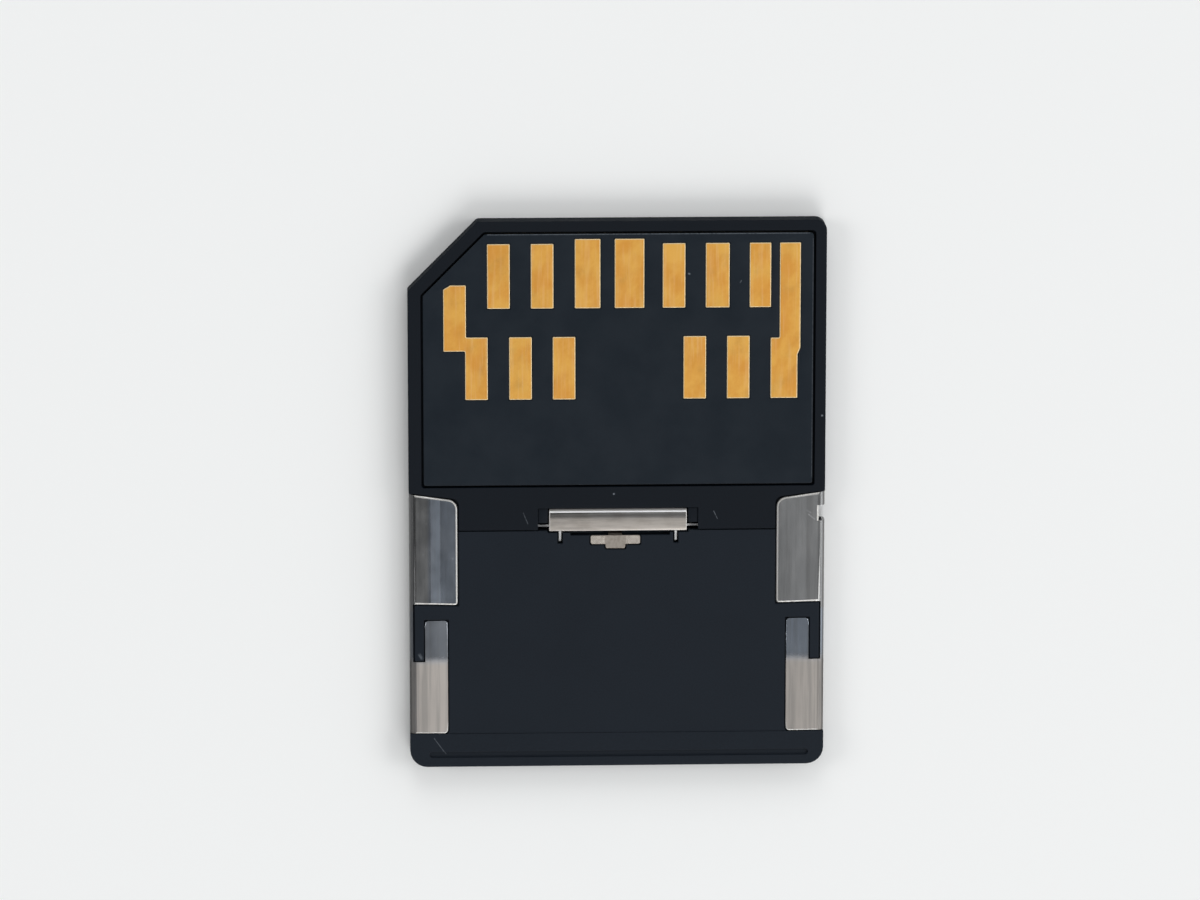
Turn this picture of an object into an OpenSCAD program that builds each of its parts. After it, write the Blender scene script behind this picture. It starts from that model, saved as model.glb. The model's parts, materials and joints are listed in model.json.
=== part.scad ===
// Reduced-size multimedia card in its mechanical full-size adapter, lying on its back.
// Origin: centre of the footprint on the back face. +Y runs to the contact edge, +Z out of the contact face.

/* [Overall size] */
// Width over card and adapter
body_w = 24; // [24:0.1:24.4]
// Length over card and adapter
body_l = 32; // [31.5:0.1:33]
// Thickness
body_t = 1.4; // [1.4:0.02:1.5]

/* [Card housing] */
// Length of the card alone
card_l = 18; // [17.8:0.1:18.2]
// Legs of the cut corner
key_cut = 4; // [3.6:0.1:4.2]
// Radius of the other front corner
card_corner_r = 0.6; // [0.3:0.1:1]
// Thickness of the back wall behind the chips
back_wall = 0.3; // [0.24:0.02:0.36]
// Depth of the plain recess in the back face
back_recess = 0.05; // [0.03:0.01:0.08]
// Gap round the board
moat = 0.13; // [0.08:0.01:0.2]
// Width of the ledge that the board is bonded to
ledge_w = 0.85; // [0.6:0.05:1]
// Thickness of the bonding film
film_t = 0.05; // [0.03:0.01:0.08]

/* [Circuit board] */
// Board thickness
board_t = 0.36; // [0.32:0.02:0.4]
// How far the board lies below the rim
board_sink = 0.04; // [0.02:0.01:0.06]
// Rim on the side with the cut corner
rim_left = 0.87; // [0.8:0.01:0.95]
// Rim on the other side
rim_right = 0.75; // [0.7:0.01:0.95]
// Rim at the contact edge
rim_front = 0.73; // [0.65:0.01:0.85]
// Board length
board_l = 14.62; // [14.5:0.02:14.7]
// Legs of the board's own cut corner
board_cut = 3.55; // [3.3:0.05:3.8]

/* [Contacts] */
// Margin left at each side when nine spacings fill the width
side_margin = 0.75; // [0.7:0.01:0.8]
// Middle of the first row from the centre line
row_shift = 0.7; // [0.65:0.01:0.75]
// Width of a narrow contact
pad_w = 1.31; // [1.2:0.01:1.35]
// Thickness of the plated contacts
pad_t = 0.06; // [0.04:0.01:0.08]
// How far the contacts stand out of the board
pad_proud = 0.015; // [0.01:0.005:0.03]
// Gap between a contact and its pocket
pad_gap = 0.05; // [0.03:0.01:0.08]
// First row: distance of its front end from the contact edge
row1_top = 1.3; // [1.2:0.05:1.4]
// First row: distance of its rear end from the contact edge
row1_end = 5.05; // [4.9:0.05:5.2]
// Second row: distance of its front end from the contact edge
row2_top = 6.7; // [6.6:0.05:6.8]
// Second row: distance of its rear end from the contact edge
row2_end = 10.35; // [10.2:0.05:10.4]
// Right stepped contact: margin to the board's side
step8_margin = 0.73; // [0.68:0.01:0.78]
// Right stepped contact: width of its upper limb
step8_upper_w = 1.21; // [1.15:0.01:1.22]
// Right stepped contact: width of its lower limb
step8_lower_w = 1.56; // [1.5:0.01:1.6]
// Left stepped contact: margin to the board's side
step9_margin = 1.16; // [1.1:0.01:1.2]
// Left stepped contact: distance of its front end from the contact edge
step9_top = 3.67; // [3.6:0.01:3.8]
// Left stepped contact: distance of its upper limb's rear end from the contact edge
step9_knee = 7.52; // [7.4:0.01:7.6]

/* [Chips under the board] */
// Memory chip length across the card
memory_w = 10.8; // [10:0.1:11]
// Memory chip length along the card
memory_l = 9.4; // [8:0.1:10]
// Memory chip thickness
memory_t = 0.6; // [0.5:0.02:0.62]
// Controller chip size
controller_w = 5; // [4:0.1:5.2]
// Controller chip thickness
controller_t = 0.55; // [0.4:0.05:0.6]
// Clearance between the chips and the bonding film
chip_margin = 0.6; // [0.4:0.05:0.7]
// Chips' front edge behind the board's front edge
chip_inset = 3.2; // [3:0.1:3.6]
// Spacing of the capacitors
capacitor_pitch = 1.6; // [1.2:0.1:1.7]
// Spacing of the resistors
resistor_pitch = 1.1; // [1:0.1:1.2]
// Middle of the capacitors and resistors from the board's front and rear edges
small_part_inset = 1.9; // [1.7:0.05:2.1]

/* [Steel shell] */
// Sheet thickness
sheet_t = 0.15; // [0.13:0.01:0.16]
// Outer radius of the long bends
bend_r = 0.35; // [0.32:0.01:0.38]
// How far the shell reaches over the card
shell_overlap = 2.15; // [1.9:0.05:2.2]
// Distance of the shell's rear edge from the adapter's rear end
shell_tail = 2; // [1.8:0.05:2.2]
// How far the wings reach in from the sides
wing_reach = 2.8; // [2.7:0.05:2.9]
// Distance of the crease in each wing from the side
crease_in = 1.26; // [1.1:0.02:1.4]
// How far each wing dips from its crease to its bend
wing_dip = 0.05; // [0.03:0.01:0.06]
// Fall of a front wing's slanted end
wing_slant = 0.37; // [0.3:0.01:0.45]
// Corner radius of the wings
wing_corner_r = 0.35; // [0.25:0.05:0.45]
// Length of a front wing behind the seam
front_wing_tail = 4.4; // [4.2:0.1:4.5]
// Start of the rear wings' tabs behind the seam
tab_start = 5.32; // [5.2:0.02:5.5]
// Root of the rear wings' tabs behind the seam
tab_root = 7.76; // [7.6:0.02:8]
// Distance of the tabs' outer edge from the side
tab_side = 0.9; // [0.85:0.05:1]
// How far the rear wings reach in from the sides
rear_wing_reach = 2.2; // [2.1:0.05:2.3]
// Dip of each tab's free end
tab_dip = 0.07; // [0.04:0.01:0.09]

/* [Lock notch] */
// Length of the notch in the right side
lock_l = 0.92; // [0.8:0.02:1]
// Depth of the notch
lock_depth = 0.35; // [0.3:0.01:0.4]
// Middle of the notch ahead of the seam
lock_ahead = 0.88; // [0.8:0.02:0.95]

/* [Adapter frame] */
// Gap between card and frame at the seam
seam_gap = 0.06; // [0.04:0.01:0.1]
// Running gap between the card and the shell
slide_gap = 0.04; // [0.03:0.01:0.05]
// Gap round the wings
wing_gap = 0.07; // [0.05:0.01:0.09]
// Radius of the rear corners
frame_corner_r = 1; // [0.6:0.1:1.4]
// How far the middle field lies below the rear strip
field_sink = 0.04; // [0.02:0.01:0.06]
// Length of the finger groove
groove_l = 22; // [20:0.5:22.5]
// Width of the finger groove
groove_w = 0.34; // [0.25:0.01:0.45]
// Depth of the finger groove
groove_depth = 0.12; // [0.06:0.01:0.2]
// Middle of the finger groove from the rear end
groove_in = 0.72; // [0.65:0.01:0.85]

/* [Latch] */
// Length of the latch bar
bar_l = 7.94; // [7.8:0.02:8]
// Middle of the latch bar from the centre line
bar_x = 0.05; // [0:0.01:0.1]
// Nose of the bar ahead of the seam
bar_ahead = 1.21; // [1.15:0.01:1.25]
// Rear edge of the bar behind the seam
bar_behind = 0.08; // [0.06:0.01:0.1]
// Sheet thickness of the bar
bar_t = 0.15; // [0.12:0.01:0.16]
// Length of the bar's sloping nose
nose_l = 0.18; // [0.15:0.01:0.2]
// Fall of the bar's sloping nose
nose_fall = 0.17; // [0.12:0.01:0.2]
// Height of the bar's lower edges
bar_low = 0.72; // [0.68:0.01:0.74]
// Diameter of the pin
pin_d = 0.14; // [0.12:0.01:0.16]
// Running gap round the pin
pin_gap = 0.02; // [0.015:0.005:0.03]
// Pin axis ahead of the seam
pin_ahead = 0.17; // [0.15:0.01:0.19]
// Height of the pin axis
pin_z = 0.9; // [0.88:0.01:0.92]
// Distance between the two tails
tail_span = 6.68; // [6.5:0.02:6.8]
// End of the tails behind the seam
tail_end = 0.7; // [0.6:0.02:0.75]
// Width of the latch notch in the card
notch_w = 9.23; // [9.1:0.01:9.3]
// Length of the latch notch in the card
notch_l = 1.27; // [1.25:0.01:1.3]
// Height of the latch notch's floor
notch_floor = 0.5; // [0.46:0.01:0.54]

/* [Spring foot] */
// Width of the crossbar
foot_w = 2.87; // [2.7:0.01:3]
// Width of the stem
stem_w = 1.14; // [1:0.01:1.2]
// Front edge of the foot behind the seam
foot_start = 0.36; // [0.34:0.01:0.4]
// Rear edge of the crossbar behind the seam
foot_end = 0.87; // [0.8:0.01:0.95]
// Rear edge of the stem behind the seam
stem_end = 1.12; // [1.05:0.01:1.2]

/* [Hidden] */
$fn = 48;
eps = 0.01; // overshoot of cuts
corner_steps = 6; // chords in a rounded corner
front_y = body_l / 2;
rear_y = -body_l / 2;
seam_y = front_y - card_l;
side_x = body_w / 2;

board_left = -side_x + rim_left;
board_right = side_x - rim_right;
board_front = front_y - rim_front;
board_rear = board_front - board_l;
board_top = body_t - board_sink;
board_z = board_top - board_t;
ledge_z = board_z - film_t;

shell_front = seam_y + shell_overlap;
shell_rear = rear_y + shell_tail;
wing_x = side_x - wing_reach;
crease_x = side_x - crease_in;
front_wing_end = seam_y - front_wing_tail;
rear_wing_x = side_x - rear_wing_reach;
tab_front = seam_y - tab_start;
tab_rear = seam_y - tab_root;
tab_x = side_x - tab_side;
strip_t = 0.2; // width of the wall strip left between two wings
plate_x = side_x - bend_r - 0.05; // half width of the back plate's square front end
plate_back = 0.12; // how far that end lies behind the wings' tips

lock_y = seam_y + lock_ahead;
frame_front = seam_y - seam_gap;
tail_block_front = shell_rear - wing_gap / 2;
frame_field_x = side_x - 0.3; // half width of the frame's upper part inside the shell

bar_nose = seam_y + bar_ahead;
bar_rear = seam_y - bar_behind;
bar_left = bar_x - bar_l / 2;
ridge_y = bar_nose - nose_l;
crown_z = 0.03; // rise of the bar's crowned top
pin_y = seam_y + pin_ahead;
end_plate_t = 0.15;
rear_lip_z = 1.2; // lower edge of the bar behind its pin
tail_t = 0.15;
tail_low = pin_z + 0.13;
tail_high = tail_low + 0.14;
lug_gap = 0.05;
lug_t = 0.55;
lug_r = 0.28; // half height of a lug
lug_inner = notch_w / 2 + lug_gap; // from the middle of the bar
lug_skin = 0.18; // card plastic left over the lugs
pin_seat = 0.45; // length of pin in each lug
foot_x = -0.1;
foot_low = 1.12;
foot_high = 1.3;
foot_gap = 0.06;
tongue_w = 0.8;
tongue_low = 1.03;
tongue_t = 0.1;
tongue_root = 0.2; // length of the tongue under the foot

pitch = (body_w - 2 * side_margin) / 9;
first_x = row_shift - 3 * pitch;
pad_top = board_top + pad_proud;
pocket_z = pad_top - pad_t;
// Widths of contacts 1 to 7 over the narrow width
row1_extra = [0, 0, 0.17, 0.4, 0, 0.07, -0.07];
// Shifts of contacts 1 to 7 off the even spacing
row1_shift = [0, 0, 0.1, 0, 0.05, 0.05, 0];
// Contacts 3 and 4 start this much nearer the contact edge
ground_lead = 0.27;
// Places of contacts 10 to 13 on the second row's spacing
row2_place = [1, 2, 5, 6];
row2_first = first_x - pitch / 2;

// Functions

function unit(v) = v / norm(v);

// Chord points of the rounded corner at b, between its neighbours a and c
function corner(a, b, c, r) =
    r == 0 ? [b] :
    let (
        u = unit(a - b),
        v = unit(c - b),
        half = acos(u * v) / 2,
        centre = b + unit(u + v) * r / sin(half),
        from = b + u * r / tan(half) - centre,
        to = b + v * r / tan(half) - centre,
        start = atan2(from.y, from.x),
        turn_raw = atan2(to.y, to.x) - start,
        turn = turn_raw > 180 ? turn_raw - 360 : turn_raw < -180 ? turn_raw + 360 : turn_raw
    )
    [for (k = [0:corner_steps])
        centre + r * [cos(start + turn * k / corner_steps), sin(start + turn * k / corner_steps)]];

// Outline through pts with the radius radii[i] at each point
function rounded(pts, radii) =
    let (n = len(pts))
    [for (i = [0:n - 1])
        each corner(pts[(i + n - 1) % n], pts[i], pts[(i + 1) % n], radii[i])];

function box_pts(x0, y0, x1, y1) = [[x0, y0], [x1, y0], [x1, y1], [x0, y1]];

function two_digits(i) = i < 10 ? str("0", i) : str(i);
function contact_name(i) = str("contact_", two_digits(i));

// Outline of contact i, grown by g
function pad_pts(i, g = 0) =
    i <= 7 ? row1_pts(i, g) :
    i == 8 ? right_step_pts(g) :
    i == 9 ? left_step_pts(g) :
    row2_pts(i - 10, g);

function row1_pts(i, g) =
    let (
        x = first_x + (i - 1) * pitch + row1_shift[i - 1],
        w = pad_w + row1_extra[i - 1],
        top = front_y - row1_top + (i == 3 || i == 4 ? ground_lead : 0)
    )
    box_pts(x - w / 2 - g, front_y - row1_end - g, x + w / 2 + g, top + g);

function row2_pts(k, g) =
    let (x = row2_first + row2_place[k] * pitch)
    box_pts(x - pad_w / 2 - g, front_y - row2_end - g, x + pad_w / 2 + g, front_y - row2_top + g);

// Contact 8: a long upper limb on the right of a short lower one
function right_step_pts(g) =
    let (
        right_x = board_right - step8_margin,
        upper_x = right_x - step8_upper_w,
        foot_right = right_x - 0.16,
        lower_x = foot_right - step8_lower_w,
        knee_y = front_y - row2_top - 0.12
    )
    [
        [lower_x - g, front_y - row2_end - g],
        [foot_right + g, front_y - row2_end - g],
        [foot_right + g, knee_y - 1],
        [right_x + g, knee_y - 0.6],
        [right_x + g, front_y - row1_top + g],
        [upper_x - g, front_y - row1_top + g],
        [upper_x - g, knee_y + g],
        [lower_x - g, knee_y + g]
    ];

// Contact 9: a short upper limb on the left of a short lower one
function left_step_pts(g) =
    let (
        upper_left = board_left + step9_margin,
        upper_right = upper_left + pad_w,
        lower_left = upper_right - 0.07,
        lower_right = lower_left + pad_w,
        upper_top = front_y - step9_top,
        upper_end = front_y - step9_knee,
        cut_x = 0.4, // cut corner of the upper limb
        cut_y = 0.25
    )
    [
        [lower_left - g, front_y - row2_end - g],
        [lower_right + g, front_y - row2_end - g],
        [lower_right + g, front_y - row2_top + g],
        [upper_right + g, front_y - row2_top + g],
        [upper_right + g, upper_top + g],
        [upper_left + cut_x, upper_top + g],
        [upper_left - g, upper_top - cut_y],
        [upper_left - g, upper_end - g],
        [lower_left - g, upper_end - g]
    ];

// Outline of a front wing on the +X side, grown by g, run out past the side
function front_wing_pts(g = 0) =
    let (out = side_x + 1)
    rounded(
        [
            [out, shell_front + g + wing_slant / wing_reach],
            [wing_x - g, shell_front - wing_slant + g],
            [wing_x - g, front_wing_end - g],
            [out, front_wing_end + 0.1 - g]
        ],
        [0, wing_corner_r + g, 0, 0]
    );

// Outline of a rear wing and its tab on the +X side, grown by g, run out past the side
function rear_wing_pts(g = 0) =
    let (out = side_x + 1)
    rounded(
        [
            [out, tab_rear + g],
            [tab_x + g, tab_rear + g],
            [tab_x + g, tab_front + g],
            [rear_wing_x - g, tab_front + g],
            [rear_wing_x - g, shell_rear - g],
            [out, shell_rear - g]
        ],
        [0, 0, 0.05, 0.05, 0.2 + g, 0]
    );

// Half section of the shell's sheet surface, t inside its outer face
function half_section(t) =
    let (
        bend_x = side_x - bend_r,
        low_z = bend_r,
        high_z = body_t - wing_dip - bend_r,
        r = bend_r - t
    )
    concat(
        [[0, t]],
        [for (k = [0:corner_steps]) [bend_x, low_z] + r * [sin(90 * k / corner_steps), -cos(90 * k / corner_steps)]],
        [for (k = [0:corner_steps]) [bend_x, high_z] + r * [cos(90 * k / corner_steps), sin(90 * k / corner_steps)]],
        [[crease_x, body_t - t]]
    );

// Section of the bar, t inside its outer face, open below
function bar_section(t) =
    let (
        rear = bar_rear + t,
        nose = bar_nose - t,
        steps = 8
    )
    concat(
        [[nose, bar_low - 2 * t], [nose, body_t - crown_z - nose_fall - t * 0.6]],
        [for (k = [0:steps])
            let (y = (ridge_y - t * 0.6) + (rear + 0.05 - ridge_y + t * 0.6) * k / steps)
            [y, body_t - t - crown_z * pow(2 * k / steps - 1, 2)]],
        [[rear, body_t - t - crown_z - 0.05], [rear, bar_low - 2 * t]]
    );

// Shared shapes

// Draws its children on both sides
module both_sides() {
    children();
    mirror([1, 0, 0]) children();
}

// Stands a drawing of Y and Z up, with length l along X from x
module along_x(x, l) {
    translate([x, 0, 0]) rotate([90, 0, 90]) linear_extrude(l) children();
}

// Stands a drawing of X and Z up, from y0 to y1
module along_y(y0, y1) {
    translate([0, y1, 0]) rotate([90, 0, 0]) linear_extrude(y1 - y0) children();
}

module slab(z0, z1) {
    translate([0, 0, z0]) linear_extrude(z1 - z0) children();
}

module block(x0, y0, z0, x1, y1, z1) {
    translate([x0, y0, z0]) cube([x1 - x0, y1 - y0, z1 - z0]);
}

// The shape that fills the shell's channel, g clear of the sheet
module channel_fill(y0, y1, g) {
    along_y(y0, y1) {
        polygon(half_section(sheet_t + g));
        mirror([1, 0]) polygon(half_section(sheet_t + g));
        translate([-crease_x, sheet_t + g]) square([2 * crease_x, body_t - wing_dip - 2 * sheet_t - 2 * g]);
    }
}

module lock_cut() {
    block(side_x - lock_depth, lock_y - lock_l / 2, -1, side_x + 1, lock_y + lock_l / 2, body_t + 1);
}

// Board outline, grown by g
module board_shape(g = 0) {
    polygon(rounded(
        [
            [board_left - g, board_rear - g],
            [board_right + g, board_rear - g],
            [board_right + g, board_front + g],
            [board_left + board_cut - g * 0.42, board_front + g],
            [board_left - g, board_front - board_cut + g * 0.42]
        ],
        [0.15, 0.15, 0.2, 0.2, 0.2]
    ));
}

// Card

module card_outline() {
    polygon(rounded(
        [
            [-side_x, shell_front + slide_gap],
            [side_x, shell_front + slide_gap],
            [side_x, front_y],
            [-side_x + key_cut, front_y],
            [-side_x, front_y - key_cut]
        ],
        [0, 0, card_corner_r, 0.3, 0.3]
    ));
}

// Surface between the front wings, ahead of the seam
module card_rear_field() {
    difference() {
        polygon(box_pts(-side_x, seam_y, side_x, shell_front + slide_gap + eps));
        both_sides() polygon(front_wing_pts(wing_gap));
    }
}

module latch_notch() {
    block(bar_x - notch_w / 2, seam_y - 1, notch_floor, bar_x + notch_w / 2, seam_y + notch_l, body_t + 1);
    pocket_half = lug_inner + lug_t + lug_gap;
    block(
        bar_x - pocket_half, seam_y - 1, notch_floor,
        bar_x + pocket_half, pin_y + lug_r + lug_gap, body_t - lug_skin
    );
}

module card_housing() color([0.11, 0.13, 0.15]) {
    difference() {
        union() {
            slab(0, body_t) card_outline();
            channel_fill(seam_y, shell_front + slide_gap + eps, slide_gap);
            slab(0.8, body_t) intersection() {
                card_rear_field();
                polygon(box_pts(-side_x + 0.19, seam_y, side_x - 0.19, front_y));
            }
        }
        slab(ledge_z, body_t + 1) board_shape(moat);
        slab(back_wall, body_t + 1) board_shape(-ledge_w);
        slab(-1, back_recess) board_shape(0);
        latch_notch();
        lock_cut();
    }
}

module circuit_board() color([0.13, 0.15, 0.17]) {
    difference() {
        slab(board_z, board_top) board_shape();
        for (i = [1:13]) slab(pocket_z, body_t + 1) polygon(pad_pts(i, pad_gap));
    }
}

module contact(i) color([0.83, 0.66, 0.36]) {
    pts = pad_pts(i);
    slab(pocket_z, pad_top) polygon(rounded(pts, [for (p = pts) 0.06]));
}

module adhesive_frame() color([0.75, 0.72, 0.62]) {
    slab(ledge_z, board_z) difference() {
        board_shape();
        board_shape(-ledge_w - 0.05);
    }
}

// A chip w by l by t, hung under the board with its left front corner at x and y
module chip(x, y, w, l, t) {
    translate([x, y - l, board_z - t]) cube([w, l, t]);
}

module memory_chip() color([0.15, 0.15, 0.16]) {
    chip(board_right - ledge_w - chip_margin - memory_w, board_front - chip_inset, memory_w, memory_l, memory_t);
}

module controller_chip() color([0.17, 0.17, 0.18]) {
    chip(
        board_left + ledge_w + chip_margin, board_front - chip_inset - 1.5,
        controller_w, controller_w, controller_t
    );
}

module capacitor(i) color([0.6, 0.5, 0.38]) {
    chip(board_left + ledge_w + 3 + capacitor_pitch * i, board_front - small_part_inset + 0.5, 0.5, 1, 0.5);
}

module resistor(i) color([0.2, 0.2, 0.2]) {
    chip(board_left + ledge_w + 0.2 + resistor_pitch * i, board_rear + small_part_inset + 0.4, 0.4, 0.8, 0.3);
}

// Adapter

// Surface of the frame between the wings, behind the seam
module frame_field() {
    difference() {
        polygon(box_pts(-frame_field_x, tail_block_front - eps, frame_field_x, frame_front));
        both_sides() polygon(front_wing_pts(wing_gap));
        both_sides() polygon(rear_wing_pts(wing_gap));
    }
}

module tail_block_shape() {
    polygon(rounded(
        [[-side_x, rear_y], [side_x, rear_y], [side_x, tail_block_front], [-side_x, tail_block_front]],
        [frame_corner_r, frame_corner_r, 0, 0]
    ));
}

module finger_groove() {
    slab(body_t - groove_depth, body_t + 1) {
        translate([0.1, rear_y + groove_in]) square([groove_l - groove_w, groove_w], center = true);
        for (side = [-1, 1])
            translate([0.1 + side * (groove_l - groove_w) / 2, rear_y + groove_in]) circle(d = groove_w);
    }
}

// Room in the frame for the bar, its tails and the spring foot
module latch_room() {
    bar_room = bar_l / 2 + 0.1;
    block(bar_x - bar_room, bar_rear - 0.1, 0.45, bar_x + bar_room, seam_y, body_t + 1);
    block(bar_x - 2.75, seam_y - foot_start + 0.02, 0.7, bar_x + 3, seam_y, body_t + 1);
    for (side = [-1, 1]) {
        x = bar_x + side * tail_span / 2;
        block(x - tail_t, seam_y - tail_end - 0.12, 0.7, x + tail_t, seam_y, body_t + 1);
    }
    slab(foot_low, body_t + 1) foot_shape(foot_gap);
    block(
        foot_x - tongue_w / 2 - foot_gap, seam_y - foot_start - tongue_root - foot_gap, tongue_low - foot_gap,
        foot_x + tongue_w / 2 + foot_gap, seam_y, body_t
    );
}

// Room under the rear wings' dipped tabs
module tab_room() {
    block(
        rear_wing_x - wing_gap, tab_rear - wing_gap, body_t - tab_dip - sheet_t - wing_gap / 2,
        tab_x + wing_gap, tab_front + wing_gap, body_t + 1
    );
}

module foot_shape(g = 0) {
    y0 = seam_y - foot_start + g;
    polygon(rounded(
        [
            [foot_x - foot_w / 2 - g, y0],
            [foot_x - foot_w / 2 - g, seam_y - foot_end - g],
            [foot_x - stem_w / 2 - g, seam_y - foot_end - g],
            [foot_x - stem_w / 2 - g, seam_y - stem_end - g],
            [foot_x + stem_w / 2 + g, seam_y - stem_end - g],
            [foot_x + stem_w / 2 + g, seam_y - foot_end - g],
            [foot_x + foot_w / 2 + g, seam_y - foot_end - g],
            [foot_x + foot_w / 2 + g, y0]
        ],
        [0.1, 0.12, 0.05, 0.1, 0.1, 0.05, 0.12, 0.1]
    ));
}

module lug() {
    along_x(0, lug_t) {
        translate([pin_y, pin_z]) circle(r = lug_r);
        translate([frame_front - 0.3, pin_z - lug_r]) square([pin_y - frame_front + 0.3, 2 * lug_r]);
    }
}

module adapter_frame() color([0.14, 0.16, 0.18]) {
    difference() {
        union() {
            channel_fill(tail_block_front - eps, frame_front, 0);
            slab(0.8, body_t - field_sink) frame_field();
            slab(0, body_t) tail_block_shape();
            translate([bar_x + lug_inner, 0, 0]) lug();
            translate([bar_x - lug_inner - lug_t, 0, 0]) lug();
        }
        finger_groove();
        both_sides() tab_room();
        latch_room();
        along_x(bar_x - lug_inner - pin_seat, 2 * (lug_inner + pin_seat)) translate([pin_y, pin_z]) circle(d = pin_d);
    }
}

module wing_tops() {
    slab(body_t / 2, body_t + 1) both_sides() {
        polygon(front_wing_pts());
        polygon(rear_wing_pts());
    }
}

// Tab that dips towards its free end
module dipped_tab() {
    along_x(rear_wing_x, tab_x - rear_wing_x) polygon([
        [tab_rear, body_t],
        [tab_front, body_t - tab_dip],
        [tab_front, body_t - tab_dip - sheet_t],
        [tab_rear, body_t - sheet_t]
    ]);
}

module steel_shell() color([0.62, 0.61, 0.59]) {
    difference() {
        along_y(shell_rear, shell_front + wing_slant / wing_reach) {
            difference() {
                union() {
                    polygon(half_section(0));
                    mirror([1, 0]) polygon(half_section(0));
                    translate([-crease_x, 0]) square([2 * crease_x, body_t]);
                }
                polygon(half_section(sheet_t));
                mirror([1, 0]) polygon(half_section(sheet_t));
                translate([-crease_x, sheet_t]) square([2 * crease_x, body_t - 2 * sheet_t]);
            }
        }
        // open middle and the gaps between the wings
        slab(body_t / 2, body_t + 1) difference() {
            polygon(box_pts(-side_x + strip_t, shell_rear - 1, side_x - strip_t, shell_front + 1));
            both_sides() polygon(front_wing_pts());
            both_sides() polygon(rear_wing_pts());
        }
        // slanted front ends of the side walls
        slab(-1, body_t + 1) difference() {
            polygon(box_pts(-side_x - 1, seam_y, side_x + 1, shell_front + 1));
            both_sides() polygon(front_wing_pts());
            polygon(box_pts(-plate_x, seam_y - 1, plate_x, shell_front + 2));
        }
        // square front end of the back plate
        slab(-1, body_t / 2) polygon(box_pts(-plate_x, shell_front - plate_back, plate_x, shell_front + 1));
        // the flat tabs give way to the dipped ones
        both_sides() block(rear_wing_x - 1, tab_rear, body_t / 2, tab_x + 0.2, tab_front + 0.2, body_t + 1);
        lock_cut();
    }
    both_sides() dipped_tab();
}

module latch_spring() color([0.62, 0.59, 0.54]) {
    slab(foot_low, foot_high) foot_shape();
    block(
        foot_x - tongue_w / 2, seam_y - foot_start - tongue_root, tongue_low,
        foot_x + tongue_w / 2, pin_y - pin_d - 0.02, tongue_low + tongue_t
    );
}

// Latch

module latch_bar() color([0.6, 0.59, 0.58]) {
    difference() {
        union() {
            difference() {
                along_x(bar_left, bar_l) polygon(bar_section(0));
                along_x(bar_left + end_plate_t, bar_l - 2 * end_plate_t) {
                    polygon(bar_section(bar_t));
                    translate([bar_rear - 1, 0]) square([1 + 2 * bar_t, rear_lip_z]);
                }
            }
            for (side = [-1, 1]) {
                x = bar_x + side * tail_span / 2 - tail_t / 2;
                block(x, seam_y - tail_end, tail_low, x + tail_t, ridge_y - 0.1, tail_high);
                block(x, bar_rear + 0.05, tail_low, x + tail_t, ridge_y - 0.1, body_t - 0.1);
            }
        }
        along_x(bar_left - 1, bar_l + 2) translate([pin_y, pin_z]) circle(d = pin_d + 2 * pin_gap);
    }
}

module hinge_pin() color([0.75, 0.75, 0.74]) {
    along_x(bar_x - lug_inner - pin_seat, 2 * (lug_inner + pin_seat)) translate([pin_y, pin_z]) circle(d = pin_d);
}

card_housing();
circuit_board();
adhesive_frame();
memory_chip();
controller_chip();
for (i = [1:3]) capacitor(i);
for (i = [1:4]) resistor(i);
for (i = [1:13]) contact(i);
adapter_frame();
steel_shell();
latch_spring();
latch_bar();
hinge_pin();
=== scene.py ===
import json
import math

import bpy
from mathutils import Matrix, Vector

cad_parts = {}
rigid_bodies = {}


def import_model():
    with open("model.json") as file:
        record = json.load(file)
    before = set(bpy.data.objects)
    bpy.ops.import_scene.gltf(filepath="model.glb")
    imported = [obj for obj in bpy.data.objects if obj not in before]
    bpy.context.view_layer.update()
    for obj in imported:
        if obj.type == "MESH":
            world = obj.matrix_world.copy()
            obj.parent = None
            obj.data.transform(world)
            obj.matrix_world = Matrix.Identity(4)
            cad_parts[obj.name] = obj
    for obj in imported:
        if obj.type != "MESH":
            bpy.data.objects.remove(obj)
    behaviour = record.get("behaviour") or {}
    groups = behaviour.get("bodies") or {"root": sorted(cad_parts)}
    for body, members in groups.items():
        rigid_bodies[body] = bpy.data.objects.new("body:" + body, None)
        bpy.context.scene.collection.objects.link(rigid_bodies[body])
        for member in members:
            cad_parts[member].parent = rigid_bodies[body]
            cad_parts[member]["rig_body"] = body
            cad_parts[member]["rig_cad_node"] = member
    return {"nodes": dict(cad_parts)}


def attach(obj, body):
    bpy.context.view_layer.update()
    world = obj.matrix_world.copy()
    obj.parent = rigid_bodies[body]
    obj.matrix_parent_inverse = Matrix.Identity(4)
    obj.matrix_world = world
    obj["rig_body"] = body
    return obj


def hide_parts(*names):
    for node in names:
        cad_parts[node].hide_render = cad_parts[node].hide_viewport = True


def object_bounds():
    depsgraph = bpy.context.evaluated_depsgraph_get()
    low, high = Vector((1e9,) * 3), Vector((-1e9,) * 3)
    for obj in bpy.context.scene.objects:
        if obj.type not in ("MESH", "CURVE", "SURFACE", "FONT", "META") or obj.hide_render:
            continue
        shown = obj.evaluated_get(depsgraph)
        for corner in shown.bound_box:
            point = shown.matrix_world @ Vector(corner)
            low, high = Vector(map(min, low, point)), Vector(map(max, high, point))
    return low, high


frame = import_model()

nodes = frame["nodes"]
cadLow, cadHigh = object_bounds()
mm = 0.001  # the frame is in metres, sizes below are in millimetres


# Small helpers

def say(stage):
    print("stage:", stage)


def linearColour(hexColour):
    # sRGB hex to the linear values that the shaders take
    values = [int(hexColour[i:i + 2], 16) / 255 for i in (1, 3, 5)]
    return [v / 12.92 if v <= 0.04045 else ((v + 0.055) / 1.055) ** 2.4 for v in values] + [1.0]


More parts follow.
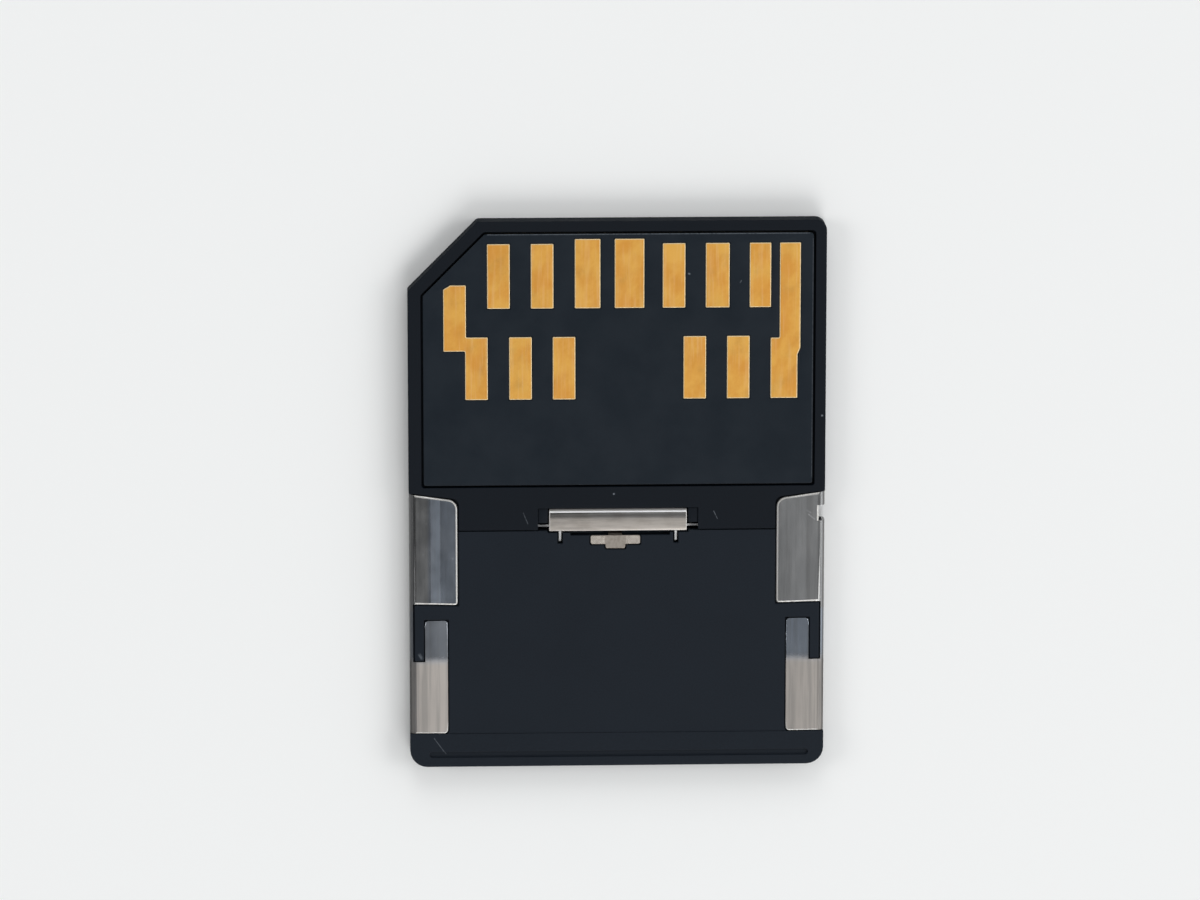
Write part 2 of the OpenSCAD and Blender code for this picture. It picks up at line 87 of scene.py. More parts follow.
def addNode(tree, kind, options=None, inputs=None):
    # options are the node's own settings; an input takes a value, a hex colour, or (node, output name) as a link
    node = tree.nodes.new(kind)
    for name, value in (options or {}).items():
        setattr(node, name, value)
    for key, value in (inputs or {}).items():
        if isinstance(value, tuple) and isinstance(value[0], bpy.types.Node):
            tree.links.new(value[0].outputs[value[1]], node.inputs[key])
        else:
            node.inputs[key].default_value = linearColour(value) if isinstance(value, str) else value
    return node


def newMaterial(name):
    material = bpy.data.materials.new(name)
    material.use_nodes = True
    material.node_tree.nodes.clear()
    return material, material.node_tree


smooth = {"interpolation_type": "SMOOTHSTEP"}  # a soft step between two values


def deselectAll():
    if bpy.context.object and bpy.context.object.mode != "OBJECT":
        bpy.ops.object.mode_set(mode="OBJECT")
    bpy.ops.object.select_all(action="DESELECT")


def makeActive(piece):
    deselectAll()
    piece.select_set(True)
    bpy.context.view_layer.objects.active = piece


def applyModifiers(piece):
    makeActive(piece)
    for modifier in list(piece.modifiers):
        bpy.ops.object.modifier_apply(modifier=modifier.name)


# Camera: the photograph looks down on the card from a little beyond its contact edge, through a long lens

camera = {
    "tilt": 11.23,  # degrees off the vertical, towards the contact edge
    "turn": -2.19,  # degrees to the left
    "aim": (-0.99, 2.69, 1.4),  # mm, where the middle of the picture meets the top face
    "distance": 336.7,  # mm
    "lens": 175.7,  # mm
    "sensor": 36,  # mm
    "near": 0.01,  # m
    "far": 10,  # m
}


def makeCamera(s):
    data = bpy.data.cameras.new("camera")
    data.lens = s["lens"]
    data.sensor_width = s["sensor"]
    data.clip_start = s["near"]
    data.clip_end = s["far"]
    cam = bpy.data.objects.new("camera", data)
    bpy.context.scene.collection.objects.link(cam)
    tilt, turn = math.radians(s["tilt"]), math.radians(s["turn"])
    back = Vector((math.sin(turn), math.sin(tilt) * math.cos(turn), math.cos(tilt) * math.cos(turn)))
    right = Vector((0, 1, 0)).cross(back).normalized()
    up = back.cross(right)
    turned = Matrix((right, up, back)).transposed().to_4x4()
    aim = Vector(s["aim"]) * mm
    cam.matrix_world = Matrix.Translation(aim + back * s["distance"] * mm) @ turned
    bpy.context.scene.camera = cam
    bpy.context.scene.view_settings.view_transform = "Standard"


# Studio: a pale sheet below, a pale room round it with a darker ceiling, and soft lamps

studio = {
    "floorColour": "#fafaf8",
    "floorSize": 3000,  # mm
    "floorDrop": 0.02,  # mm below the card, so that the two don't touch
    "roomColour": "#f8fbff",
    "ceiling": 0.10,  # brightness straight above
    "panel": 0.20,  # what the panel overhead on the right adds
    "panelFrom": -0.01,  # where its soft edge starts and ends, as a direction
    "panelTo": 0.12,
    "walls": 0.82,  # brightness towards the horizon
    "leftWall": 0.4,  # share of that on the left
    "leftFrom": -0.9,  # from here to leftTo it rises to the full brightness, as a direction
    "leftTo": 0.2,
    "fall": 2.2,  # how fast the ceiling brightens towards the walls
    "fullAt": 1.15,
    "lamps": [
        # name, place in mm, size in mm, watts
        ("frontLamp", (120, -420, 420), 320, 0.9),
        ("leftLamp", (-520, 120, 420), 300, 0.75),
        ("rightLamp", (520, 60, 420), 300, 0.8),
        ("backLamp", (-60, 560, 380), 320, 0.73),
    ],
}


def makeWorld(s):
    world = bpy.data.worlds.new("studioRoom")
    bpy.context.scene.world = world
    world.use_nodes = True
    tree = world.node_tree
    tree.nodes.clear()
    coords = addNode(tree, "ShaderNodeTexCoord")
    axes = addNode(tree, "ShaderNodeSeparateXYZ", {}, {"Vector": (coords, "Generated")})
    fall = addNode(tree, "ShaderNodeMath", {"operation": "SUBTRACT"}, {0: 1.0, 1: (axes, "Z")})
    fall = addNode(tree, "ShaderNodeMath", {"operation": "MULTIPLY"}, {0: (fall, "Value"), 1: s["fall"]})
    level = addNode(tree, "ShaderNodeMapRange", smooth, {
        "From Max": s["fullAt"], "To Min": s["ceiling"], "To Max": s["walls"], "Value": (fall, "Value"),
    })
    left = addNode(tree, "ShaderNodeMapRange", smooth, {
        "From Min": s["leftFrom"], "From Max": s["leftTo"], "To Min": s["leftWall"], "To Max": 1.0,
        "Value": (axes, "X"),
    })
    level = addNode(tree, "ShaderNodeMath", {"operation": "MULTIPLY"}, {
        0: (level, "Result"), 1: (left, "Result"),
    })
    panel = addNode(tree, "ShaderNodeMapRange", smooth, {
        "From Min": s["panelFrom"], "From Max": s["panelTo"], "To Min": 0.0, "To Max": s["panel"],
        "Value": (axes, "X"),
    })
    total = addNode(tree, "ShaderNodeMath", {"operation": "ADD", "use_clamp": True}, {
        0: (level, "Value"), 1: (panel, "Result"),
    })
    back = addNode(tree, "ShaderNodeBackground", {}, {"Color": s["roomColour"], "Strength": (total, "Value")})
    addNode(tree, "ShaderNodeOutputWorld", {}, {"Surface": (back, "Background")})


def makeFloor(s):
    deselectAll()
    bpy.ops.mesh.primitive_plane_add(size=s["floorSize"] * mm, location=(0, 0, -s["floorDrop"] * mm))
    floor = bpy.context.object
    floor.name = "floor"
    material, tree = newMaterial("paleStudioSheet")
    shader = addNode(tree, "ShaderNodeBsdfPrincipled", {}, {
        "Base Color": s["floorColour"], "Roughness": 0.9, "Specular IOR Level": 0.1,
    })
    addNode(tree, "ShaderNodeOutputMaterial", {}, {"Surface": (shader, "BSDF")})
    floor.data.materials.append(material)


def makeLamps(s):
    for name, place, size, watts in s["lamps"]:
        data = bpy.data.lights.new(name, "AREA")
        data.shape = "SQUARE"
        data.size = size * mm
        data.energy = watts
        lamp = bpy.data.objects.new(name, data)
        bpy.context.scene.collection.objects.link(lamp)
        lamp.location = Vector(place) * mm
        lamp.rotation_euler = (-lamp.location).to_track_quat("-Z", "Y").to_euler()


makeCamera(camera)
makeWorld(studio)
makeFloor(studio)
makeLamps(studio)
say("camera and studio")


# Materials

def coordsInMm(tree):
    coords = addNode(tree, "ShaderNodeTexCoord")
    return addNode(tree, "ShaderNodeMapping", {}, {"Scale": (1 / mm,) * 3, "Vector": (coords, "Object")})


def stretchedNoise(tree, place, perMm, detail=3.0, turn=0.0, shift=(0, 0, 0)):
    # noise with its own number of features per millimetre along each axis
    if turn:
        place = addNode(tree, "ShaderNodeMapping", {}, {
            "Rotation": (0, 0, math.radians(turn)), "Vector": (place, "Vector"),
        })
    spread = addNode(tree, "ShaderNodeMapping", {}, {
        "Scale": perMm, "Location": shift, "Vector": (place, "Vector"),
    })
    return addNode(tree, "ShaderNodeTexNoise", {}, {
        "Scale": 1.0, "Detail": detail, "Roughness": 0.6, "Vector": (spread, "Vector"),
    })


def markOrPaintedHighlight(tree, place, mark):
    # one hairline scratch or dust speck, or a thin painted highlight along an edge: x and y of its two ends, its
    # width in mm and how much it shows
    x1, y1, x2, y2, width, strength = mark
    long = math.hypot(x2 - x1, y2 - y1)
    turn = -math.atan2(y2 - y1, x2 - x1)
    midX, midY = (x1 + x2) / 2, (y1 + y2) / 2
    shift = (-(midX * math.cos(turn) - midY * math.sin(turn)), -(midX * math.sin(turn) + midY * math.cos(turn)), 0)
    local = addNode(tree, "ShaderNodeMapping", {}, {
        "Rotation": (0, 0, turn), "Location": shift, "Vector": (place, "Vector"),
    })
    axes = addNode(tree, "ShaderNodeSeparateXYZ", {}, {"Vector": (local, "Vector")})
    along = addNode(tree, "ShaderNodeMath", {"operation": "ABSOLUTE"}, {0: (axes, "X")})
    across = addNode(tree, "ShaderNodeMath", {"operation": "ABSOLUTE"}, {0: (axes, "Y")})
    along = addNode(tree, "ShaderNodeMapRange", smooth, {
        "Value": (along, "Value"), "From Min": long / 2, "From Max": long / 2 + width, "To Min": 1.0,
        "To Max": 0.0,
    })
    across = addNode(tree, "ShaderNodeMapRange", smooth, {
        "Value": (across, "Value"), "From Min": width * 0.3, "From Max": width * 0.9, "To Min": strength,
        "To Max": 0.0,
    })
    broken = stretchedNoise(tree, place, (9, 9, 9), 2)
    broken = addNode(tree, "ShaderNodeMapRange", smooth, {
        "Value": (broken, "Fac"), "From Min": 0.38, "From Max": 0.55, "To Min": 0.35,
    })
    amount = addNode(tree, "ShaderNodeMath", {"operation": "MULTIPLY"}, {
        0: (along, "Result"), 1: (across, "Result"),
    })
    return addNode(tree, "ShaderNodeMath", {"operation": "MULTIPLY"}, {
        0: (amount, "Value"), 1: (broken, "Result"),
    })


# the same pale tone also paints the highlight along the board's cut edge
scratchOrHighlightTone = "#8d949b"  # plastic turns pale where it is scratched


def mouldedPlastic(name, s):
    # Injection-moulded out of a spark-eroded tool: an even fine-grained satin, with a few hairline scratches; some
    # marks are painted highlights instead
    material, tree = newMaterial(name)
    place = coordsInMm(tree)
    grain = stretchedNoise(tree, place, (1 / s["grain"],) * 3)
    cloud = stretchedNoise(tree, place, (1 / s["cloud"],) * 3, 4)
    colour = addNode(tree, "ShaderNodeMixRGB", {}, {
        "Fac": (cloud, "Fac"), "Color1": s["dark"], "Color2": s["light"],
    })
    # the grain is finer than a pixel, so it is drawn coarser
    mottle = addNode(tree, "ShaderNodeMapRange", smooth, {
        "Value": (grain, "Fac"), "From Min": 0.35, "From Max": 0.65, "To Max": s["mottle"],
    })
    colour = addNode(tree, "ShaderNodeMixRGB", {}, {
        "Fac": (mottle, "Result"), "Color1": (colour, "Color"), "Color2": s["grainTone"],
    })
    for mark in s["marks"]:
        amount = markOrPaintedHighlight(tree, place, mark)
        colour = addNode(tree, "ShaderNodeMixRGB", {}, {
            "Fac": (amount, "Value"), "Color1": (colour, "Color"), "Color2": scratchOrHighlightTone,
        })
    rough = addNode(tree, "ShaderNodeMapRange", smooth, {
        "Value": (cloud, "Fac"), "From Min": 0.3, "From Max": 0.7, "To Min": s["rough"] - 0.04,
        "To Max": s["rough"] + 0.05,
    })
    bump = addNode(tree, "ShaderNodeBump", {}, {
        "Strength": s["bump"], "Distance": 0.01 * mm, "Height": (grain, "Fac"),
    })
    shader = addNode(tree, "ShaderNodeBsdfPrincipled", {}, {
        "IOR": s["ior"], "Specular IOR Level": s["gloss"], "Base Color": (colour, "Color"),
        "Roughness": (rough, "Result"), "Normal": (bump, "Normal"),
    })
    addNode(tree, "ShaderNodeOutputMaterial", {}, {"Surface": (shader, "BSDF")})
    return material


cardFinish = {
    "dark": "#070d14", "light": "#0a1119", "grain": 0.07, "cloud": 3.0, "rough": 0.6, "bump": 0.25,
    "ior": 1.58, "gloss": 0.14, "mottle": 0.5, "grainTone": "#0e161f",
    "marks": [
        (-5.41, -0.98, -5.15, -1.62, 0.036, 0.25), (5.57, -0.94, 5.78, -1.39, 0.036, 0.35),
        (-0.2, 0.1, -0.17, 0.12, 0.07, 0.7), (11.79, 4.61, 11.81, 4.61, 0.08, 0.7),
    ],
}
cardPlastic = mouldedPlastic("mouldedPolycarbonate", cardFinish)
# the tool's walls are blasted duller than its floor
cardWalls = mouldedPlastic("blastedPolycarbonate", {**cardFinish, "gloss": 0.03, "marks": []})
adapterPlastic = mouldedPlastic("mouldedAbs", {
    "dark": "#0f161e", "light": "#131b24", "grain": 0.08, "cloud": 4.0, "rough": 0.55, "bump": 0.3,
    "ior": 1.54, "gloss": 0.18, "mottle": 0.5, "grainTone": "#171f28",
    "marks": [(-10.61, -14.29, -9.92, -15.25, 0.036, 0.26), (-11.42, -9.33, -11.3, -9.53, 0.13, 0.3)],
})
solderMask = mouldedPlastic("solderMask", {
    "dark": "#151c23", "light": "#1a222a", "grain": 0.05, "cloud": 2.0, "rough": 0.38, "bump": 0.15,
    "ior": 1.5, "gloss": 0.25, "mottle": 0.4, "grainTone": "#1d252d",
    "marks": [
        (4.09, 12.93, 4.14, 12.91, 0.07, 0.6), (-2.16, 0.64, -2.13, 0.64, 0.05, 0.45),
        (7.05, 12.4, 7.1, 12.5, 0.05, 0.5),
        # painted highlight: the cut edge is drawn pale where it catches the light
        (-7.4, 15.235, 11.0, 15.235, 0.045, 0.3), (11.215, 14.9, 11.215, 1.0, 0.04, 0.15),
    ],
})
chipResin = mouldedPlastic("mouldedEpoxy", {
    "dark": "#17181a", "light": "#1f2022", "grain": 0.06, "cloud": 1.0, "rough": 0.5, "bump": 0.3,
    "ior": 1.55, "gloss": 0.4, "mottle": 0.5, "grainTone": "#292a2c", "marks": [],
})
bondFilm = mouldedPlastic("bondingFilm", {
    "dark": "#a89c7c", "light": "#b9ad8c", "grain": 0.2, "cloud": 2.0, "rough": 0.5, "bump": 0.1,
    "ior": 1.48, "gloss": 0.5, "mottle": 0.3, "grainTone": "#c4b998", "marks": [],
})
firedCeramic = mouldedPlastic("firedCeramic", {
    "dark": "#8a7354", "light": "#9b8462", "grain": 0.06, "cloud": 0.5, "rough": 0.55, "bump": 0.2,
    "ior": 1.6, "gloss": 0.5, "mottle": 0.4, "grainTone": "#ab9472", "marks": [],
})
coatedCeramic = mouldedPlastic("coatedCeramic", {
    "dark": "#191919", "light": "#232323", "grain": 0.06, "cloud": 0.5, "rough": 0.4, "bump": 0.2,
    "ior": 1.6, "gloss": 0.5, "mottle": 0.4, "grainTone": "#303030", "marks": [],
})


# Rolled stainless strip, stamped and folded: a soft mirror on the front wings, rubbed brighter on the rear ones;
# painted shade darkens the fold, the sides and parts of the right wing
rolledSteel = {
    "cool": "#b6bfcb", "plain": "#cbcbca", "warm": "#c9c2bb", "streak": "#8f8d8a",
    "bendShadeTone": "#5d5d5d", "side": "#343434", "deep": "#3c3936", "bright": "#ffffff",
    "smooth": 0.22, "rubbed": 0.54, "bandRough": 0.11,
    "streakFront": 0.25, "streakRear": 0.4,  # how much each shows
    "bendShadeLeft": 0.8, "bendShadeRight": 0.45, "sideShadeShare": 0.6, "rightShadeShare": 0.2, "tabShare": 0.25, "bandShare": 0.75,
    "rubbedFrom": -9.25, "rubbedTo": -10.05, "wingsEnd": -6.9,  # mm along the card
    "crease": 10.74, "band": 10.2, "tabTo": 11.2, "bendFrom": 11.56, "sideFrom": 11.86,  # mm from the middle
    "marks": [
        (11.06, -1.19, 11.4, -1.47, 0.06, 0.6), (10.95, -0.95, 11.2, -1.1, 0.05, 0.4),
        (-11.03, -1.58, -11.0, -1.58, 0.09, 0.5), (-9.52, -3.64, -9.49, -3.64, 0.09, 0.5),
        (-11.2, -3.4, -11.17, -3.4, 0.07, 0.4),
    ],
}


def makeRolledSteel(s):
    material, tree = newMaterial("rolledStainlessStrip")
    place = coordsInMm(tree)
    axes = addNode(tree, "ShaderNodeSeparateXYZ", {}, {"Vector": (place, "Vector")})
    out = addNode(tree, "ShaderNodeMath", {"operation": "ABSOLUTE"}, {0: (axes, "X")})
    rubbed = addNode(tree, "ShaderNodeMapRange", smooth, {
        "Value": (axes, "Y"), "From Min": s["rubbedFrom"], "From Max": s["rubbedTo"],
    })
    right = addNode(tree, "ShaderNodeMapRange", smooth, {"Value": (axes, "X"), "From Min": -1})
    lines = stretchedNoise(tree, place, (4, 0.12, 2), 4)  # rolling lines run along the card
    smears = stretchedNoise(tree, place, (0.9, 0.5, 1), 4)
    ahead = addNode(tree, "ShaderNodeMapRange", smooth, {
        "Value": (axes, "Y"), "From Min": s["wingsEnd"], "From Max": s["wingsEnd"] + 0.3,
    })
    # the part outside the crease is plainer
    outer = addNode(tree, "ShaderNodeMapRange", smooth, {
        "Value": (out, "Value"), "From Min": s["crease"], "From Max": s["crease"] + 0.3,
    })
    outer = addNode(tree, "ShaderNodeMath", {"operation": "MULTIPLY"}, {
        0: (outer, "Result"), 1: (ahead, "Result"),
    })
    rightFront = addNode(tree, "ShaderNodeMath", {"operation": "MULTIPLY"}, {
        0: (right, "Result"), 1: (ahead, "Result"),
    })
    plain = addNode(tree, "ShaderNodeMath", {"operation": "MAXIMUM"}, {
        0: (rightFront, "Value"), 1: (outer, "Value"),
    })
    colour = addNode(tree, "ShaderNodeMixRGB", {}, {
        "Fac": (plain, "Value"), "Color1": s["cool"], "Color2": s["plain"],
    })
    colour = addNode(tree, "ShaderNodeMixRGB", {}, {
        "Fac": (rubbed, "Result"), "Color1": (colour, "Color"), "Color2": s["warm"],
    })
    strength = addNode(tree, "ShaderNodeMapRange", smooth, {
        "Value": (rubbed, "Result"), "To Min": s["streakFront"], "To Max": s["streakRear"],
    })
    streaks = addNode(tree, "ShaderNodeMapRange", smooth, {
        "Value": (lines, "Fac"), "From Min": 0.42, "From Max": 0.66,
    })
    streaks = addNode(tree, "ShaderNodeMath", {"operation": "MULTIPLY"}, {
        0: (streaks, "Result"), 1: (strength, "Result"),
    })
    colour = addNode(tree, "ShaderNodeMixRGB", {}, {
        "Fac": (streaks, "Value"), "Color1": (colour, "Color"), "Color2": s["streak"],
    })
    # painted shade: the tight fold and the outer sides are drawn darker, standing in for the shadow in the gap
    # beside them
    bend = addNode(tree, "ShaderNodeMapRange", smooth, {
        "Value": (out, "Value"), "From Min": s["bendFrom"], "From Max": s["bendFrom"] + 0.1,
    })
    bendShadeShare = addNode(tree, "ShaderNodeMapRange", smooth, {
        "Value": (right, "Result"), "To Min": s["bendShadeLeft"], "To Max": s["bendShadeRight"],
    })
    bend = addNode(tree, "ShaderNodeMath", {"operation": "MULTIPLY"}, {
        0: (bend, "Result"), 1: (bendShadeShare, "Result"),
    })
    colour = addNode(tree, "ShaderNodeMixRGB", {}, {
        "Fac": (bend, "Value"), "Color1": (colour, "Color"), "Color2": s["bendShadeTone"],
    })
    side = addNode(tree, "ShaderNodeMapRange", smooth, {
        "Value": (out, "Value"), "From Min": s["sideFrom"], "From Max": s["sideFrom"] + 0.08,
        "To Max": s["sideShadeShare"],
    })
    colour = addNode(tree, "ShaderNodeMixRGB", {}, {
        "Fac": (side, "Result"), "Color1": (colour, "Color"), "Color2": s["side"],
    })
    # painted shade: on the right the parts outside the crease and behind are drawn a little darker, standing in for
    # a darker reflection there
    rightOuter = addNode(tree, "ShaderNodeMath", {"operation": "MULTIPLY"}, {
        0: (outer, "Value"), 1: (right, "Result"),
    })
    rightRear = addNode(tree, "ShaderNodeMath", {"operation": "MULTIPLY"}, {
        0: (rubbed, "Result"), 1: (right, "Result"),
    })
    rightShade = addNode(tree, "ShaderNodeMath", {"operation": "MAXIMUM"}, {
        0: (rightOuter, "Value"), 1: (rightRear, "Value"),
    })
    rightShade = addNode(tree, "ShaderNodeMath", {"operation": "MULTIPLY"}, {
        0: (rightShade, "Value"), 1: s["rightShadeShare"],
    })
    colour = addNode(tree, "ShaderNodeMixRGB", {}, {
        "Fac": (rightShade, "Value"), "Color1": (colour, "Color"), "Color2": s["deep"],
    })
    # the left tab is paler where it isn't rubbed
    left = addNode(tree, "ShaderNodeMapRange", smooth, {
        "Value": (axes, "X"), "From Min": -1, "To Min": 1, "To Max": 0,
    })
    behind = addNode(tree, "ShaderNodeMapRange", smooth, {
        "Value": (axes, "Y"), "From Min": s["wingsEnd"], "From Max": s["wingsEnd"] - 0.3,
    })
    unrubbed = addNode(tree, "ShaderNodeMapRange", smooth, {
        "Value": (rubbed, "Result"), "To Min": s["tabShare"], "To Max": 0.0,
    })
    onTab = addNode(tree, "ShaderNodeMapRange", smooth, {
        "Value": (out, "Value"), "From Min": s["tabTo"], "From Max": s["tabTo"] + 0.2, "To Min": 1.0,
        "To Max": 0.0,
    })
    leftTab = addNode(tree, "ShaderNodeMath", {"operation": "MULTIPLY"}, {
        0: (left, "Result"), 1: (behind, "Result"),
    })
    leftTab = addNode(tree, "ShaderNodeMath", {"operation": "MULTIPLY"}, {
        0: (leftTab, "Value"), 1: (unrubbed, "Result"),
    })
    leftTab = addNode(tree, "ShaderNodeMath", {"operation": "MULTIPLY"}, {
        0: (leftTab, "Value"), 1: (onTab, "Result"),
    })
    colour = addNode(tree, "ShaderNodeMixRGB", {}, {
        "Fac": (leftTab, "Value"), "Color1": (colour, "Color"), "Color2": s["bright"],
    })
    # on the left a band beside the crease is a little rougher, and so paler
    inside = addNode(tree, "ShaderNodeMapRange", smooth, {
        "Value": (out, "Value"), "From Min": s["band"] - 0.03, "From Max": s["band"] + 0.03,
    })
    outside = addNode(tree, "ShaderNodeMapRange", smooth, {
        "Value": (out, "Value"), "From Min": s["crease"] - 0.02, "From Max": s["crease"] + 0.06,
        "To Min": 1.0, "To Max": 0.0,
    })
    band = addNode(tree, "ShaderNodeMath", {"operation": "MULTIPLY"}, {
        0: (inside, "Result"), 1: (outside, "Result"),
    })
    leftOnly = addNode(tree, "ShaderNodeMapRange", smooth, {
        "Value": (right, "Result"), "To Min": s["bandShare"], "To Max": 0.0,
    })
    band = addNode(tree, "ShaderNodeMath", {"operation": "MULTIPLY"}, {
        0: (band, "Value"), 1: (leftOnly, "Result"),
    })
    band = addNode(tree, "ShaderNodeMath", {"operation": "MULTIPLY"}, {
        0: (band, "Value"), 1: (ahead, "Result"),
    })
    for mark in s["marks"]:
        amount = markOrPaintedHighlight(tree, place, mark)
        colour = addNode(tree, "ShaderNodeMixRGB", {}, {
            "Fac": (amount, "Value"), "Color1": (colour, "Color"), "Color2": s["bright"],
        })
    rough = addNode(tree, "ShaderNodeMapRange", smooth, {
        "Value": (rubbed, "Result"), "To Min": s["smooth"], "To Max": s["rubbed"],
    })
    duller = addNode(tree, "ShaderNodeMath", {"operation": "MULTIPLY"}, {
        0: (band, "Value"), 1: s["bandRough"],
    })
    rough = addNode(tree, "ShaderNodeMath", {"operation": "ADD"}, {
        0: (rough, "Result"), 1: (duller, "Value"),
    })
    cloudy = addNode(tree, "ShaderNodeMapRange", smooth, {
        "Value": (smears, "Fac"), "From Min": 0.3, "From Max": 0.7, "To Min": -0.03, "To Max": 0.05,
    })
    rough = addNode(tree, "ShaderNodeMath", {"operation": "ADD"}, {
        0: (rough, "Value"), 1: (cloudy, "Result"),
    })
    bump = addNode(tree, "ShaderNodeBump", {}, {
        "Strength": 0.06, "Distance": 0.004 * mm, "Height": (lines, "Fac"),
    })
    shader = addNode(tree, "ShaderNodeBsdfPrincipled", {}, {
        "Metallic": 1.0, "Base Color": (colour, "Color"), "Roughness": (rough, "Value"),
        "Normal": (bump, "Normal"),
    })
    addNode(tree, "ShaderNodeOutputMaterial", {}, {"Surface": (shader, "BSDF")})
    return material


# Pressed stainless bar: drawn lines along it, darker where the press wiped it behind the nose; its ridge, nose,
# ends, rear edge and tails carry painted highlights
pressedSteel = {
    "front": "#cac7c3", "rear": "#c4bdb5", "streak": "#7d7974", "stain": "#8f8378",
    "ridgeHighlightTone": "#ffffff", "nose": "#dad8d5", "edgeHighlight": "#f4f2ef", "tails": "#f6f6f4",
    "stainShare": 0.3, "streakShare": 0.42, "edgeHighlightShare": 0.6,
    "frontRough": 0.2, "rearRough": 0.5, "highlightRough": 0.72, "tailHighlightMetal": 0.1,
    "ridge": -0.945, "ridgeHighlightHalf": 0.038, "darkTo": -1.08, "lightFrom": -1.5, "rearEdge": -2.035,  # mm along the card
    "middle": 0.05, "endFrom": 3.915,  # mm across it
}


def makePressedSteel(s):
    material, tree = newMaterial("pressedStainlessBar")
    place = coordsInMm(tree)
    axes = addNode(tree, "ShaderNodeSeparateXYZ", {}, {"Vector": (place, "Vector")})
    toRear = addNode(tree, "ShaderNodeMapRange", smooth, {
        "Value": (axes, "Y"), "From Min": s["darkTo"], "From Max": s["lightFrom"],
    })
    lines = stretchedNoise(tree, place, (0.45, 9, 4), 4)
    stains = stretchedNoise(tree, place, (0.7, 1.6, 1), 3, 0, (1.7, 0.4, 0))
    colour = addNode(tree, "ShaderNodeMixRGB", {}, {
        "Fac": (toRear, "Result"), "Color1": s["front"], "Color2": s["rear"],
    })
    stained = addNode(tree, "ShaderNodeMapRange", smooth, {
        "Value": (stains, "Fac"), "From Min": 0.42, "From Max": 0.68, "To Max": s["stainShare"],
    })
    colour = addNode(tree, "ShaderNodeMixRGB", {}, {
        "Fac": (stained, "Result"), "Color1": (colour, "Color"), "Color2": s["stain"],
    })
    streaks = addNode(tree, "ShaderNodeMapRange", smooth, {
        "Value": (lines, "Fac"), "From Min": 0.4, "From Max": 0.75, "To Max": s["streakShare"],
    })
    colour = addNode(tree, "ShaderNodeMixRGB", {}, {
        "Fac": (streaks, "Result"), "Color1": (colour, "Color"), "Color2": s["streak"],
    })
    fromRidge = addNode(tree, "ShaderNodeMath", {"operation": "SUBTRACT"}, {0: (axes, "Y"), 1: s["ridge"]})
    fromRidge = addNode(tree, "ShaderNodeMath", {"operation": "ABSOLUTE"}, {0: (fromRidge, "Value")})
    # painted highlight: a white band along the ridge, where its rounded edge catches the light
    ridge = addNode(tree, "ShaderNodeMapRange", smooth, {
        "Value": (fromRidge, "Value"), "From Min": s["ridgeHighlightHalf"] * 0.6, "From Max": s["ridgeHighlightHalf"] * 1.4,
        "To Min": 1.0, "To Max": 0.0,
    })
    colour = addNode(tree, "ShaderNodeMixRGB", {}, {
        "Fac": (ridge, "Result"), "Color1": (colour, "Color"), "Color2": s["ridgeHighlightTone"],
    })
    rough = addNode(tree, "ShaderNodeMapRange", smooth, {
        "Value": (toRear, "Result"), "To Min": s["frontRough"], "To Max": s["rearRough"],
    })
    # painted highlight: the nose in front of the ridge is drawn paler, and rougher, to show the light it catches
    nose = addNode(tree, "ShaderNodeMapRange", smooth, {
        "Value": (axes, "Y"), "From Min": s["ridge"] + 0.02, "From Max": s["ridge"] + 0.06,
    })
    colour = addNode(tree, "ShaderNodeMixRGB", {}, {
        "Fac": (nose, "Result"), "Color1": (colour, "Color"), "Color2": s["nose"],
    })
    # painted highlight: the ends and the rear edge are drawn pale, standing in for the light on their rounded
    # corners
    out = addNode(tree, "ShaderNodeMath", {"operation": "SUBTRACT"}, {0: (axes, "X"), 1: s["middle"]})
    out = addNode(tree, "ShaderNodeMath", {"operation": "ABSOLUTE"}, {0: (out, "Value")})
    ends = addNode(tree, "ShaderNodeMapRange", smooth, {
        "Value": (out, "Value"), "From Min": s["endFrom"] - 0.02, "From Max": s["endFrom"] + 0.02,
    })
    rear = addNode(tree, "ShaderNodeMapRange", smooth, {
        "Value": (axes, "Y"), "From Min": s["rearEdge"] + 0.02, "From Max": s["rearEdge"] - 0.02,
    })
    edgeHighlight = addNode(tree, "ShaderNodeMath", {"operation": "MAXIMUM"}, {
        0: (ends, "Result"), 1: (rear, "Result"),
    })
    paler = addNode(tree, "ShaderNodeMath", {"operation": "MULTIPLY"}, {
        0: (edgeHighlight, "Value"), 1: s["edgeHighlightShare"],
    })
    colour = addNode(tree, "ShaderNodeMixRGB", {}, {
        "Fac": (paler, "Value"), "Color1": (colour, "Color"), "Color2": s["edgeHighlight"],
    })
    # the painted highlights on the ends, rear edge, nose and ridge are also made rougher
    rubbed = addNode(tree, "ShaderNodeMath", {"operation": "MAXIMUM"}, {
        0: (edgeHighlight, "Value"), 1: (nose, "Result"),
    })
    rubbed = addNode(tree, "ShaderNodeMath", {"operation": "MAXIMUM"}, {
        0: (ridge, "Result"), 1: (rubbed, "Value"),
    })
    rubbed = addNode(tree, "ShaderNodeMath", {"operation": "MULTIPLY"}, {
        0: (rubbed, "Value"), 1: s["highlightRough"],
    })
    rough = addNode(tree, "ShaderNodeMath", {"operation": "MAXIMUM"}, {
        0: (rough, "Result"), 1: (rubbed, "Value"),
    })
